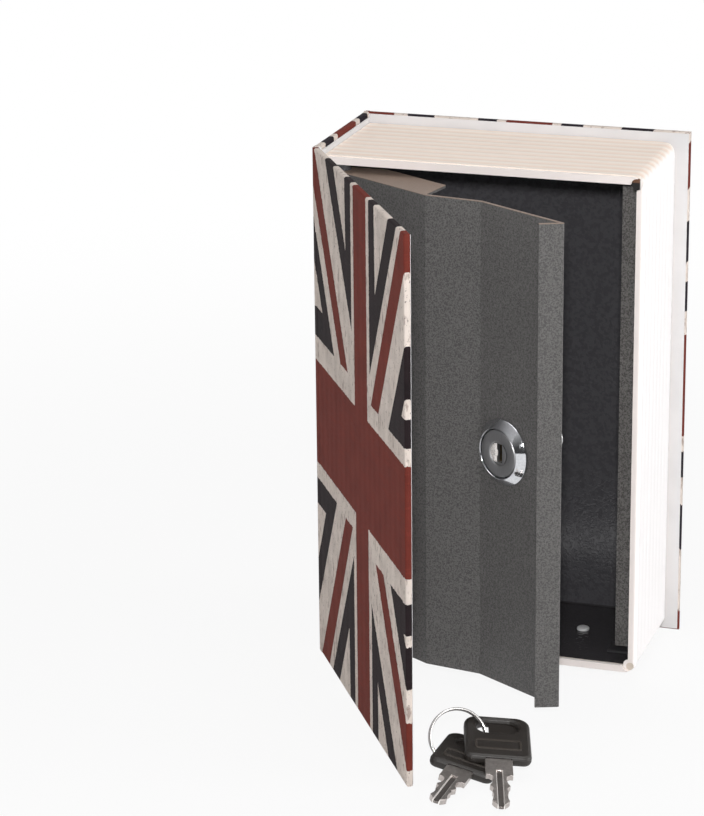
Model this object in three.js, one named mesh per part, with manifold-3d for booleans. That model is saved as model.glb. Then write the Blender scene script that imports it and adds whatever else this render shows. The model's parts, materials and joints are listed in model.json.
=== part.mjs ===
import * as THREE from 'three';
import { mergeVertices } from 'three/addons/utils/BufferGeometryUtils.js';
import Module from 'manifold-3d';

// Book diversion safe: a hard-cover book whose page block is a plastic shell round a steel box.
// The box has a locking door, and both the cover and the door stand open. Two keys on a split
// ring lie in front. Millimetres, +Z up. X runs from the spine to the fore-edge and Y from the
// front cover to the back cover. The origin is the middle of the spine's foot.

// Closed book
const bookHeight = 180;
const bookWidth = 115.5;
const bookDepth = 56;
const coverAngle = 57.4; // degrees that the front cover stands open

// Hard cover: a grey board in a printed wrap, lined with paper
const coverThickness = 2.5;
const wrapThickness = 0.35;
const wrapEdgeRadius = 0.6;
const turnIn = 12;
const liningThickness = 0.25;
const liningInset = 1.6;
const liningSideInset = 0.4;
const glueGap = 0.12;
const foldGap = 0.15;

// Page block: a moulded shell with a rim that frames the steel box
const blockInset = 3.8;
const rimWidth = 2.4;
const rimDepth = 1.5;
const coverToBlock = 0.3;
const blockCornerRadius = 7.5;
const blockEdgeRadius = 4;
const blockFrontRadius = 1.2;
const notchRadius = 2;

// Steel box
const boxSheet = 0.8;
const rivetHeadRadius = 2.4;
const rivetHeadHeight = 1.5;
const rivetShankRadius = 1.5;
const rivetFromSide = 22.5;
const rivetFromMiddle = 2;
const shankClearance = 0.1;
const rivetSkin = 0.7;

// Strike bracket, which the lock's cam catches
const strikeWidth = 6.9;
const strikeTabLength = 9.7;
const strikeLegDepth = 10;
const strikeTabDepth = 8;
const strikeFromEnd = 2.9;
const strikeGap = 0.6;

// Door: one bent sheet
const doorAngle = 31; // degrees that the door stands open
const doorSheet = 1;
const doorRecess = 0.8;
const doorFlat = 43.6;
const doorSlope = 19.9;
const doorSlopeAngle = 22;
const doorLand = 36.9;
const doorLip = 7.5;
const doorLipAngle = 52;
const doorBottomGap = 1.6;
const doorTopGap = 2.5;
const tabDepth = 13.6;
const tabTaper = 4.9;
const tabCornerRadius = 3;

// Hinge pins
const pivotInset = 3.7;
const pivotBehindFace = 3.2;
const pinRadius = 1.2;
const pinHeadRadius = 2;
const pinHeadHeight = 0.8;
const pinClearance = 0.15;
const hingeWasherRadius = 2.5;
const seatGap = 0.15;

// Lock
const lockFromSlope = 11.5;
const bezelRadius = 11.25;
const bezelRim = 0.7;
const bezelTopRadius = 8.6;
const bezelHeight = 3;
const faceRadius = 8.1;
const faceThickness = 0.8;
const faceSink = 0.25;
const barrelRadius = 7.9;
const barrelDepth = 18.5;
const plugRadius = 5.2;
const plugNoseRadius = 3.75;
const plugSink = 0.7;
const keywayWidth = 2.3;
const keywayHeight = 6.3;
const keywayDepth = 14;
const tailWidth = 5;
const tailLength = 1.9;
const wafers = 5;
const waferThickness = 0.7;
const waferPitch = 2;
const waferWidth = 6.2;
const waferHeight = 8.4;
const waferWindow = 5.4;
const nutFlats = 19;
const nutThickness = 3;
const toothedWasherRadius = 10.2;
const toothedWasherThickness = 0.6;
const camWidth = 10;
const camSheet = 1.5;
const camHubReach = 5.6;
const camCrankStart = 12.2;
const camCrankEnd = 15.4;
const camReach = 25;
const camBehindStrike = 0.5;
const screwHeadRadius = 4.2;
const screwHeadHeight = 2;
const screwRadius = 1.4;
const screwDepth = 5;
const runningGap = 0.15;

// Keys: a double-sided blade moulded into a plastic head
const bladeLength = 27.5;
const bladeWidth = 6.6;
const bladeThickness = 1.8;
const bladeGrooveWidth = 2;
const bladeGrooveDepth = 0.5;
const shoulderLength = 9.4;
const shoulderWidth = 8.6;
const tangLength = 11;
const tangWidth = 7.6;
const headLength = 25.4;
const headWidth = 21.2;
const headThickness = 3.6;
const headCornerRadius = 3.5;
const headFootCornerRadius = 1.6;
const headBevel = 1.2;
const slotLength = 13.4;
const slotWidth = 7.4;
const slotFromTop = 2.6;

// Split ring
const ringRadius = 9.2;
const ringWireRadius = 0.45;
const ringPitch = 1.32;
const ringTurns = 2;
const ringSteps = 28;

// Where the loose pieces lie: the middle of each key's slot and of the ring, from the spine's foot,
// and their angles in degrees
const lowerSlotX = 76.15;
const lowerSlotY = -101.4;
const lowerSlotZ = 2.3;
const lowerPitchAngle = -4.1;
const lowerRollAngle = 12.3;
const lowerTurnAngle = 0;
const upperSlotX = 81.75;
const upperSlotY = -95.6;
const upperSlotZ = 7.6;
const upperPitchAngle = 6.3;
const upperRollAngle = 5.1;
const upperTurnAngle = 18.2;
const ringX = 71.05;
const ringY = -102.5;
const ringZ = 8.5;
const ringPitchAngle = 54.1;
const ringRollAngle = 25.6;

// Length that a cutting solid runs past what it cuts
const overrun = 5;

// Smoothness of round stretches
const cornerSteps = 5;
const roundSteps = 36;

const wasm = await Module();
wasm.setup();

// A closed three.js geometry as a solid for cutting and joining
function solid(geometry) {
  const bare = geometry.clone();
  for (const name of Object.keys(bare.attributes)) {
    if (name !== 'position') bare.deleteAttribute(name);
  }
  const merged = mergeVertices(bare);
  return new wasm.Manifold(new wasm.Mesh({
    numProp: 3,
    vertProperties: merged.attributes.position.array,
    triVerts: new Uint32Array(merged.index.array),
  }));
}

// The reverse: a solid as a three.js geometry
function geometryOf(body) {
  const mesh = body.getMesh();
  const geometry = new THREE.BufferGeometry();
  const points = Float32Array.from(mesh.vertProperties);
  geometry.setAttribute('position', new THREE.BufferAttribute(points, 3));
  geometry.setIndex(new THREE.BufferAttribute(Uint32Array.from(mesh.triVerts), 1));
  const flat = geometry.toNonIndexed();
  flat.computeVertexNormals();
  return flat;
}

function joined(...parts) {
  return parts.reduce((sum, part) => sum.add(part));
}

// A box between two corners
function block(low, high) {
  const size = high.map((value, i) => value - low[i]);
  const geometry = new THREE.BoxGeometry(...size);
  return solid(geometry.translate(...low.map((value, i) => value + size[i] / 2)));
}

// Prisms of a shape: drawn in X and Y and raised along Z, drawn in Y and Z and raised along X,
// or drawn in X and Z and raised along Y
function raised(shape, height) {
  return new THREE.ExtrudeGeometry(shape, {
    depth: height, bevelEnabled: false, curveSegments: cornerSteps,
  });
}

function prismZ(shape, low, high) {
  return solid(raised(shape, high - low).translate(0, 0, low));
}

function prismX(shape, low, high) {
  const turn = new THREE.Matrix4().makeBasis(
    new THREE.Vector3(0, 1, 0), new THREE.Vector3(0, 0, 1), new THREE.Vector3(1, 0, 0),
  );
  return solid(raised(shape, high - low).applyMatrix4(turn).translate(low, 0, 0));
}

function prismY(shape, low, high) {
  return solid(raised(shape, high - low).rotateX(Math.PI / 2).translate(0, high, 0));
}

// A rectangle whose corners are rounded by radii given anticlockwise from the low corner
function rounded(x0, y0, x1, y1, radii) {
  const [a, b, c, d] = radii;
  const shape = new THREE.Shape();
  shape.moveTo(x0 + a, y0).lineTo(x1 - b, y0);
  if (b > 0) shape.absarc(x1 - b, y0 + b, b, -Math.PI / 2, 0);
  shape.lineTo(x1, y1 - c);
  if (c > 0) shape.absarc(x1 - c, y1 - c, c, 0, Math.PI / 2);
  shape.lineTo(x0 + d, y1);
  if (d > 0) shape.absarc(x0 + d, y1 - d, d, Math.PI / 2, Math.PI);
  shape.lineTo(x0, y0 + a);
  if (a > 0) shape.absarc(x0 + a, y0 + a, a, Math.PI, 1.5 * Math.PI);
  return shape;
}

function polygon(points) {
  return new THREE.Shape(points.map(([x, y]) => new THREE.Vector2(x, y)));
}

// A turned piece: its profile is pairs of radius and height, turned about Z
function turned(profile, steps = roundSteps) {
  const points = profile.map(([radius, height]) => new THREE.Vector2(radius, height));
  return solid(new THREE.LatheGeometry(points, steps).rotateX(Math.PI / 2));
}

function rod(radius, low, high, steps = roundSteps) {
  return turned([[0, low], [radius, low], [radius, high], [0, high]], steps);
}

function ring(inner, outer, low, high, steps = roundSteps) {
  const profile = [[inner, low], [outer, low], [outer, high], [inner, high], [inner, low]];
  return turned(profile, steps);
}

// The outline of a bent sheet: a centre line thickened to both sides, round outside its bends
function sheetOutline(centre, thickness) {
  const half = thickness / 2;
  const points = centre.map(([x, y]) => new THREE.Vector2(x, y));
  const ways = points.slice(1).map((p, i) => p.clone().sub(points[i]).normalize());
  const side = (way, sign) => new THREE.Vector2(-way.y, way.x).multiplyScalar(sign * half);
  const edge = (sign) => {
    const line = [points[0].clone().add(side(ways[0], sign))];
    for (let i = 1; i < ways.length; i += 1) {
      const turn = ways[i - 1].cross(ways[i]);
      const from = side(ways[i - 1], sign);
      const to = side(ways[i], sign);
      const bend = Math.acos(THREE.MathUtils.clamp(ways[i - 1].dot(ways[i]), -1, 1));
      if (turn * sign > 0) {
        const inward = from.clone().add(to).normalize();
        line.push(points[i].clone().addScaledVector(inward, half / Math.cos(bend / 2)));
      } else {
        const steps = Math.max(1, Math.ceil(bend / (Math.PI / 8)));
        for (let k = 0; k <= steps; k += 1) {
          const part = from.clone().rotateAround(new THREE.Vector2(), -sign * bend * (k / steps));
          line.push(points[i].clone().add(part));
        }
      }
    }
    line.push(points[points.length - 1].clone().add(side(ways[ways.length - 1], sign)));
    return line;
  };
  return new THREE.Shape([...edge(-1), ...edge(1).reverse()]);
}

const group = new THREE.Group();
const degrees = THREE.MathUtils.degToRad;

function finish(color, roughness, metalness) {
  return () => new THREE.MeshStandardMaterial({ color, roughness, metalness });
}

const finishes = {
  print: finish(0x7d2d37, 0.8, 0),
  board: finish(0x8d8a84, 0.95, 0),
  lining: finish(0xdcdcd6, 0.9, 0),
  pages: finish(0xeee2d4, 0.6, 0),
  boxSteel: finish(0x343436, 0.55, 0.3),
  doorSteel: finish(0x50504e, 0.5, 0.35),
  zinc: finish(0xb9babb, 0.35, 0.9),
  chrome: finish(0xd6d7d9, 0.12, 1),
  satin: finish(0x8f9092, 0.35, 0.9),
  brass: finish(0xb59a57, 0.35, 0.9),
  keySteel: finish(0x85827e, 0.35, 0.9),
  keyPlastic: finish(0x282421, 0.5, 0),
};

// Adds a piece to a group as a named mesh
function add(parent, name, body, material) {
  const mesh = new THREE.Mesh(geometryOf(body), finishes[material]());
  mesh.name = name;
  parent.add(mesh);
  return mesh;
}

// Planes of the closed book that several pieces share
const spineOuter = -coverThickness / 2;
const spineInner = coverThickness / 2;
const foreEdge = spineOuter + bookWidth;
const frontOuter = -bookDepth / 2;
const frontInner = frontOuter + coverThickness;
const backOuter = bookDepth / 2;
const backInner = backOuter - coverThickness;
const casedThickness = coverThickness - liningThickness - glueGap;

// Front cover, drawn closed with its outer face on Y = 0 and its fold on the group's Z axis
const cover = new THREE.Group();
cover.position.set(spineOuter, frontOuter, 0);
cover.rotation.z = -degrees(coverAngle);
group.add(cover);

function sideRound(y0, y1) {
  const r = wrapEdgeRadius;
  return rounded(y0, 0, y1, bookHeight, [r, r, r, r]);
}

{
  const r = wrapEdgeRadius;
  const plan = new THREE.Shape();
  plan.moveTo(foldGap, 0).lineTo(bookWidth - r, 0);
  plan.absarc(bookWidth - r, r, r, -Math.PI / 2, 0);
  plan.lineTo(bookWidth, casedThickness - r);
  plan.absarc(bookWidth - r, casedThickness - r, r, 0, Math.PI / 2);
  plan.lineTo(casedThickness + foldGap, casedThickness);
  const slab = prismZ(plan, 0, bookHeight)
    .intersect(prismX(sideRound(0, casedThickness), 0, bookWidth + overrun));
  const pocket = block(
    [-overrun, wrapThickness, wrapThickness],
    [bookWidth - wrapThickness, casedThickness - wrapThickness, bookHeight - wrapThickness],
  );
  const window = block(
    [-overrun, casedThickness / 2, turnIn],
    [bookWidth - turnIn, casedThickness + overrun, bookHeight - turnIn],
  );
  add(cover, 'front_wrap', slab.subtract(pocket).subtract(window), 'print');

  const low = wrapThickness + glueGap;
  const high = casedThickness - wrapThickness - glueGap;
  const boardEnd = bookWidth - wrapThickness - glueGap;
  const board = polygon([
    [low + foldGap, low], [boardEnd, low], [boardEnd, high], [high + foldGap, high],
  ]);
  add(cover, 'front_board', prismZ(board, low, bookHeight - low), 'board');

  const lining = block(
    [coverThickness + foldGap, casedThickness + glueGap, liningInset],
    [bookWidth - liningSideInset, coverThickness, bookHeight - liningInset],
  );
  add(cover, 'front_lining', lining, 'lining');
}

// Spine and back cover: one wrap folded round the back corner, with a board in each part
{
  const r = wrapEdgeRadius;
  const spineCased = spineOuter + casedThickness;
  const backCased = backOuter - casedThickness;
  const plan = new THREE.Shape();
  plan.moveTo(spineOuter, frontOuter + foldGap);
  plan.lineTo(spineCased, frontOuter + casedThickness + foldGap);
  plan.lineTo(spineCased, backCased).lineTo(foreEdge - r, backCased);
  plan.absarc(foreEdge - r, backCased + r, r, -Math.PI / 2, 0);
  plan.lineTo(foreEdge, backOuter - r);
  plan.absarc(foreEdge - r, backOuter - r, r, 0, Math.PI / 2);
  plan.lineTo(spineOuter + r, backOuter);
  plan.absarc(spineOuter + r, backOuter - r, r, Math.PI / 2, Math.PI);
  const rounding = joined(
    prismY(sideRound(spineOuter, spineCased), frontOuter - overrun, backOuter + overrun),
    prismX(sideRound(backCased, backOuter), spineOuter - overrun, foreEdge + overrun),
  );
  const inner = bookHeight - wrapThickness;
  const pockets = joined(
    block([spineOuter + wrapThickness, frontOuter - overrun, wrapThickness],
      [spineCased - wrapThickness, backOuter - wrapThickness, inner]),
    block([spineOuter + wrapThickness, backCased + wrapThickness, wrapThickness],
      [foreEdge - wrapThickness, backOuter - wrapThickness, inner]),
    block([spineOuter + casedThickness / 2, frontOuter - overrun, turnIn],
      [spineCased + overrun, backCased + casedThickness / 2, bookHeight - turnIn]),
    block([spineCased, backCased - overrun, turnIn],
      [foreEdge - turnIn, backCased + casedThickness / 2, bookHeight - turnIn]),
  );
  const slab = prismZ(plan, 0, bookHeight).intersect(rounding);
  add(group, 'spine_and_back_wrap', slab.subtract(pockets), 'print');

  const near = wrapThickness + glueGap;
  const far = casedThickness - wrapThickness - glueGap;
  const bottom = near;
  const top = bookHeight - near;
  const spineBoard = polygon([
    [spineOuter + near, frontOuter + near + foldGap],
    [spineOuter + far, frontOuter + far + foldGap],
    [spineOuter + far, backOuter - casedThickness],
    [spineOuter + near, backOuter - casedThickness],
  ]);
  add(group, 'spine_board', prismZ(spineBoard, bottom, top), 'board');
  const backBoard = block(
    [spineOuter + near, backOuter - far, bottom],
    [foreEdge - near, backOuter - near, top],
  );
  add(group, 'back_board', backBoard, 'board');
  const backLining = block(
    [spineInner + glueGap, backInner, liningInset],
    [foreEdge - liningSideInset, backCased - glueGap, bookHeight - liningInset],
  );
  add(group, 'back_lining', backLining, 'lining');
  const spineLining = block(
    [spineCased + glueGap, frontInner + foldGap, liningInset],
    [spineInner, backInner, bookHeight - liningInset],
  );
  add(group, 'spine_lining', spineLining, 'lining');
}

// Page block and the box inside it
const blockLeft = spineInner + glueGap;
const blockRight = foreEdge - blockInset;
const blockFront = frontInner + coverToBlock;
const blockBack = backInner - glueGap;
const blockBottom = blockInset;
const blockTop = bookHeight - blockInset;
const boxLeft = blockLeft + rimWidth;
const boxRight = blockRight - rimWidth;
const boxBottom = blockBottom + rimWidth;
const boxTop = blockTop - rimWidth;
const boxFront = blockFront + rimDepth + glueGap;
const boxBackFace = blockBack - boxSheet;
const pivotX = boxLeft + pivotInset;
const doorFront = blockFront + doorRecess;
const pivotY = doorFront + pivotBehindFace;
const strikeFront = doorFront + doorSlope * Math.sin(degrees(doorSlopeAngle)) + doorSheet + strikeGap;
const rivetXs = [boxLeft + rivetFromSide, boxRight - rivetFromSide];

function atRivets(body) {
  return joined(...rivetXs.map((x) => body.translate([x, rivetFromMiddle, 0])));
}

{
  const r = blockCornerRadius;
  const plan = rounded(blockLeft, blockFront, blockRight, blockBack, [0, blockFrontRadius, r, 0]);
  const e = blockEdgeRadius;
  const face = rounded(blockLeft, blockBottom, blockRight, blockTop, [0, e, e, 0]);
  const outer = prismZ(plan, blockBottom, blockTop).intersect(prismY(face, blockFront, blockBack));
  const reach = boxSheet + glueGap;
  const innerRadius = r - (rimWidth - reach);
  const cavityPlan = rounded(
    boxLeft - reach, boxFront - glueGap, boxRight + reach, blockBack, [0, 0, innerRadius, 0],
  );
  const cavity = joined(
    prismZ(cavityPlan, boxBottom - reach, boxTop + reach),
    block([boxLeft - reach, blockBack - glueGap, boxBottom - reach],
      [boxRight + reach - innerRadius, blockBack + overrun, boxTop + reach]),
  );
  const mouth = block(
    [boxLeft, blockFront - overrun, boxBottom],
    [boxRight, boxFront + glueGap, boxTop],
  );
  const notch = solid(new THREE.CylinderGeometry(notchRadius, notchRadius, rimDepth, roundSteps / 2)
    .translate(boxRight, blockFront + rimDepth / 2, 0));
  const shank = rod(
    rivetShankRadius + shankClearance, blockBottom + rivetSkin, blockTop - rivetSkin, roundSteps / 2,
  );
  const shell = outer.subtract(cavity).subtract(mouth)
    .subtract(notch.translate([0, 0, boxBottom])).subtract(notch.translate([0, 0, boxTop]))
    .subtract(atRivets(shank));
  add(group, 'page_block', shell, 'pages');

  const boxOuterRadius = innerRadius - glueGap;
  const boxPlan = rounded(
    boxLeft - boxSheet, boxFront, boxRight + boxSheet, blockBack, [0, 0, boxOuterRadius, 0],
  );
  const boxInnerPlan = rounded(
    boxLeft, boxFront - overrun, boxRight, boxBackFace, [0, 0, boxOuterRadius - boxSheet, 0],
  );
  const pinHole = rod(pinRadius + shankClearance, -overrun, bookHeight + overrun, roundSteps / 2)
    .translate([pivotX, pivotY, 0]);
  const box = prismZ(boxPlan, boxBottom - boxSheet, boxTop + boxSheet)
    .subtract(prismZ(boxInnerPlan, boxBottom, boxTop))
    .subtract(atRivets(shank)).subtract(pinHole);
  add(group, 'steel_box', box, 'boxSteel');
}

// Rivets through the floor and the roof of the box: a domed head and a shank
{
  const h = rivetHeadHeight;
  const seat = boxBottom + glueGap;
  const foot = blockBottom + rivetSkin + glueGap;
  const dome = [[0, foot], [rivetShankRadius, foot], [rivetShankRadius, seat], [rivetHeadRadius, seat]];
  for (let i = 1; i < cornerSteps; i += 1) {
    const angle = (Math.PI / 2) * (i / cornerSteps);
    dome.push([rivetHeadRadius * Math.cos(angle), seat + h * Math.sin(angle)]);
  }
  dome.push([0, seat + h]);
  const lower = turned(dome, roundSteps / 2);
  const upper = lower.mirror([0, 0, 1]).translate([0, 0, bookHeight]);
  rivetXs.forEach((x, i) => {
    const side = i === 0 ? 'spine' : 'fore_edge';
    add(group, `floor_rivet_${side}`, lower.translate([x, rivetFromMiddle, 0]), 'zinc');
    add(group, `roof_rivet_${side}`, upper.translate([x, rivetFromMiddle, 0]), 'zinc');
  });
}

// Strike bracket: a leg on the side wall, a flange towards the middle and a weld tab at each end
{
  const wall = boxRight - glueGap;
  const low = boxBottom + glueGap;
  const high = boxTop - glueGap;
  const leg = block([wall - boxSheet, strikeFront, low], [wall, strikeFront + strikeLegDepth, high]);
  const flange = block(
    [boxRight - strikeWidth, strikeFront, boxBottom + strikeFromEnd],
    [wall, strikeFront + boxSheet, boxTop - strikeFromEnd],
  );
  const tab = block(
    [boxRight - strikeTabLength, strikeFront, low],
    [wall, strikeFront + strikeTabDepth, low + boxSheet],
  );
  const upperTab = tab.translate([0, 0, high - boxSheet - low]);
  add(group, 'strike_bracket', joined(leg, flange, tab, upperTab), 'boxSteel');
}

// Door, drawn closed round the hinge pins' axis, which is the group's Z axis
const door = new THREE.Group();
door.position.set(pivotX, pivotY, 0);
door.rotation.z = -degrees(doorAngle);
group.add(door);

const doorBottom = boxBottom + doorBottomGap;
const doorTop = boxTop - doorTopGap;
const slopeWay = [Math.cos(degrees(doorSlopeAngle)), Math.sin(degrees(doorSlopeAngle))];
const flatY = doorSheet / 2 - pivotBehindFace;
const slopeStart = [doorFlat, flatY];
const landStart = [slopeStart[0] + doorSlope * slopeWay[0], flatY + doorSlope * slopeWay[1]];
const landEnd = [landStart[0] + doorLand, landStart[1]];
const lipWay = [-Math.cos(degrees(doorLipAngle)), -Math.sin(degrees(doorLipAngle))];
const lipEnd = [landEnd[0] + doorLip * lipWay[0], landEnd[1] + doorLip * lipWay[1]];
const landFace = landStart[1] - doorSheet / 2;
const lockX = landStart[0] + lockFromSlope;
const lockZ = (doorBottom + doorTop) / 2;

{
  const sheet = sheetOutline([[0, flatY], slopeStart, landStart, landEnd, lipEnd], doorSheet);
  const tabBack = tabDepth - pivotBehindFace;
  const hingeRadius = pivotBehindFace;
  const tab = new THREE.Shape();
  tab.moveTo(0, -hingeRadius).lineTo(doorFlat, -hingeRadius);
  tab.lineTo(doorFlat - tabTaper, tabBack).lineTo(tabCornerRadius - hingeRadius, tabBack);
  tab.absarc(tabCornerRadius - hingeRadius, tabBack - tabCornerRadius, tabCornerRadius,
    Math.PI / 2, Math.PI);
  tab.lineTo(-hingeRadius, 0);
  tab.absarc(0, 0, hingeRadius, Math.PI, 1.5 * Math.PI);
  const barrelHole = solid(new THREE.CylinderGeometry(
    barrelRadius + seatGap, barrelRadius + seatGap, overrun, roundSteps,
  ).translate(lockX, landStart[1], lockZ));
  const pinHole = rod(pinRadius + pinClearance, -overrun, bookHeight + overrun, roundSteps / 2);
  const panel = joined(
    prismZ(sheet, doorBottom, doorTop),
    prismZ(tab, doorTop - doorSheet, doorTop),
    prismZ(tab, doorBottom, doorBottom + doorSheet),
  ).subtract(barrelHole).subtract(pinHole);
  add(door, 'door_panel', panel, 'doorSteel');
}

// Hinge pins, fixed in the floor and the roof of the box, each with a head inside the door's tab
// and a washer that takes up the gap between the tab and the box
{
  const tail = boxBottom - boxSheet + glueGap / 2;
  const head = doorBottom + doorSheet + seatGap;
  const lower = joined(
    rod(pinRadius, tail, head + pinHeadHeight / 2, roundSteps / 2),
    rod(pinHeadRadius, head, head + pinHeadHeight, roundSteps / 2),
  ).translate([pivotX, pivotY, 0]);
  add(group, 'lower_hinge_pin', lower, 'zinc');
  const upperTail = boxTop + boxSheet - glueGap / 2;
  const upperHead = doorTop - doorSheet - seatGap;
  const upper = joined(
    rod(pinRadius, upperHead - pinHeadHeight / 2, upperTail, roundSteps / 2),
    rod(pinHeadRadius, upperHead - pinHeadHeight, upperHead, roundSteps / 2),
  ).translate([pivotX, pivotY, 0]);
  add(group, 'upper_hinge_pin', upper, 'zinc');
  const bore = pinRadius + pinClearance;
  const lowerWasher = ring(bore, hingeWasherRadius, boxBottom + seatGap, doorBottom - seatGap)
    .translate([pivotX, pivotY, 0]);
  add(group, 'lower_hinge_washer', lowerWasher, 'zinc');
  const upperWasher = ring(bore, hingeWasherRadius, doorTop + seatGap, boxTop - seatGap)
    .translate([pivotX, pivotY, 0]);
  add(group, 'upper_hinge_washer', upperWasher, 'zinc');
}

// Lock, drawn round its own Z axis, which points out of the door; heights are from the door's face
const lock = new THREE.Group();
lock.position.set(lockX, landFace, lockZ);
lock.rotation.x = Math.PI / 2;
door.add(lock);

const faceTop = bezelHeight - faceSink;
const faceBottom = faceTop - faceThickness;
const plugTop = faceTop - plugSink;
const plugShoulder = faceBottom - runningGap;
const plugBottom = -barrelDepth;
const camBack = plugBottom - runningGap;

{
  const bore = faceRadius + seatGap;
  const bezel = turned([
    [bore, seatGap], [bezelRadius, seatGap], [bezelRadius, bezelRim + seatGap],
    [bezelTopRadius, bezelHeight], [bore, bezelHeight], [bore, seatGap],
  ]);
  add(lock, 'lock_bezel', bezel, 'chrome');
  const opening = plugNoseRadius + runningGap;
  add(lock, 'lock_face_plate', ring(opening, faceRadius, faceBottom, faceTop), 'satin');
  const barrel = ring(plugRadius + runningGap, barrelRadius, plugBottom, faceBottom - seatGap);
  add(lock, 'lock_barrel', barrel, 'zinc');
  const toothed = ring(
    barrelRadius + seatGap, toothedWasherRadius,
    -doorSheet - seatGap - toothedWasherThickness, -doorSheet - seatGap,
  );
  add(lock, 'toothed_washer', toothed, 'zinc');
  const nutTop = -doorSheet - 2 * seatGap - toothedWasherThickness;
  const corner = nutFlats / 2 / Math.cos(Math.PI / 6);
  const nut = rod(corner, nutTop - nutThickness, nutTop, 6)
    .subtract(rod(barrelRadius + seatGap, nutTop - nutThickness - overrun, nutTop + overrun));
  add(lock, 'lock_nut', nut, 'zinc');
}

// What the key turns: the plug with its wafers, the cam and the cam's screw
const turning = new THREE.Group();
lock.add(turning);
{
  const body = joined(
    rod(plugRadius, plugBottom, plugShoulder),
    rod(plugNoseRadius, plugShoulder - seatGap, plugTop),
  );
  const tail = block(
    [-tailWidth / 2, -tailWidth / 2, plugBottom - tailLength],
    [tailWidth / 2, tailWidth / 2, plugBottom + seatGap],
  );
  const keyway = block(
    [-keywayWidth / 2, -keywayHeight / 2, plugTop - keywayDepth],
    [keywayWidth / 2, keywayHeight / 2, plugTop + overrun],
  );
  const waferZs = Array.from({ length: wafers }, (_, i) => plugShoulder - waferPitch * (i + 1));
  const slots = joined(...waferZs.map((z) => block(
    [-waferWidth / 2 - runningGap, -plugRadius - overrun, z - runningGap],
    [waferWidth / 2 + runningGap, plugRadius + overrun, z + waferThickness + runningGap],
  )));
  const screwHole = rod(
    screwRadius + seatGap, plugBottom - tailLength - overrun, plugBottom - tailLength + screwDepth,
    roundSteps / 2,
  );
  const plug = joined(body, tail).subtract(keyway).subtract(slots).subtract(screwHole);
  add(turning, 'lock_plug', plug, 'satin');
  waferZs.forEach((z, i) => {
    const wafer = block(
      [-waferWidth / 2, -waferHeight / 2, z], [waferWidth / 2, waferHeight / 2, z + waferThickness],
    ).subtract(block(
      [-keywayWidth / 2, -waferWindow / 2, z - overrun],
      [keywayWidth / 2, waferWindow / 2, z + overrun],
    ));
    add(turning, `lock_wafer_${i + 1}`, wafer, 'brass');
  });

  // The cam reaches down at rest and turns a quarter turn towards the strike
  const strikeBack = doorSheet + strikeGap + boxSheet;
  const tipZ = -strikeBack - camBehindStrike - camSheet / 2;
  const hubZ = camBack - camSheet / 2;
  const centre = [
    [camHubReach, hubZ], [-camCrankStart, hubZ], [-camCrankEnd, tipZ], [-camReach, tipZ],
  ];
  const strip = prismX(sheetOutline(centre, camSheet), -camWidth / 2, camWidth / 2);
  const hole = block(
    [-tailWidth / 2 - seatGap, -tailWidth / 2 - seatGap, hubZ - overrun],
    [tailWidth / 2 + seatGap, tailWidth / 2 + seatGap, hubZ + overrun],
  );
  const ends = rounded(-camWidth / 2, -camReach, camWidth / 2, camHubReach,
    Array(4).fill(camWidth / 4));
  const cam = strip.intersect(prismZ(ends, hubZ - overrun, overrun)).subtract(hole);
  add(turning, 'lock_cam', cam, 'zinc');

  const headTop = plugBottom - Math.max(tailLength, runningGap + camSheet) - seatGap;
  const screw = joined(
    rod(screwHeadRadius, headTop - screwHeadHeight, headTop, 6 * Math.round(roundSteps / 12)),
    rod(screwRadius, headTop - screwHeadHeight / 2, headTop + screwDepth - 2 * seatGap, roundSteps / 2),
  );
  add(turning, 'cam_screw', screw, 'zinc');
}

// Keys, drawn flat with the blade's tip towards -Y and the middle of the slot on the Z axis
const headTopY = slotFromTop + slotWidth / 2;
const headBottomY = headTopY - headLength;
const tipY = headBottomY - bladeLength;

function bladeSolid() {
  const rootShare = 0.62; // width left between the deepest cuts, as a share of the blade's width
  const cutShares = [0.45, 0.8, 0.9, 0.6, 0.95, 0.05, 0.7, 1, 0.85]; // depth of each cut from the tip on
  const tipCutShare = 0.8;
  const straight = bladeLength - shoulderLength;
  const pitch = (straight - bladeWidth / 3) / cutShares.length;
  const deepest = (bladeWidth * (1 - rootShare)) / 2;
  const side = [
    [bladeWidth / 12, tipY], [bladeWidth / 2 - deepest * tipCutShare, tipY + bladeWidth / 3],
  ];
  cutShares.forEach((share, i) => {
    const y = tipY + bladeWidth / 3 + pitch * (i + 0.5);
    side.push([bladeWidth / 2 - deepest * share, y]);
  });
  const shoulderY = tipY + straight;
  side.push([bladeWidth / 2, shoulderY], [shoulderWidth / 2, shoulderY]);
  side.push([shoulderWidth / 2, headBottomY - seatGap], [tangWidth / 2, headBottomY - seatGap]);
  side.push([tangWidth / 2, headBottomY + tangLength]);
  const other = [...side].reverse().map(([x, y]) => [-x, y]);
  const low = (headThickness - bladeThickness) / 2;
  const high = low + bladeThickness;
  const groove = (z0, z1) => block(
    [-bladeGrooveWidth / 2, tipY - overrun, z0],
    [bladeGrooveWidth / 2, shoulderY + shoulderLength / 3, z1],
  );
  return prismZ(polygon([...side, ...other]), low, high)
    .subtract(groove(low - overrun, low + bladeGrooveDepth))
    .subtract(groove(high - bladeGrooveDepth, high + overrun));
}

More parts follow.
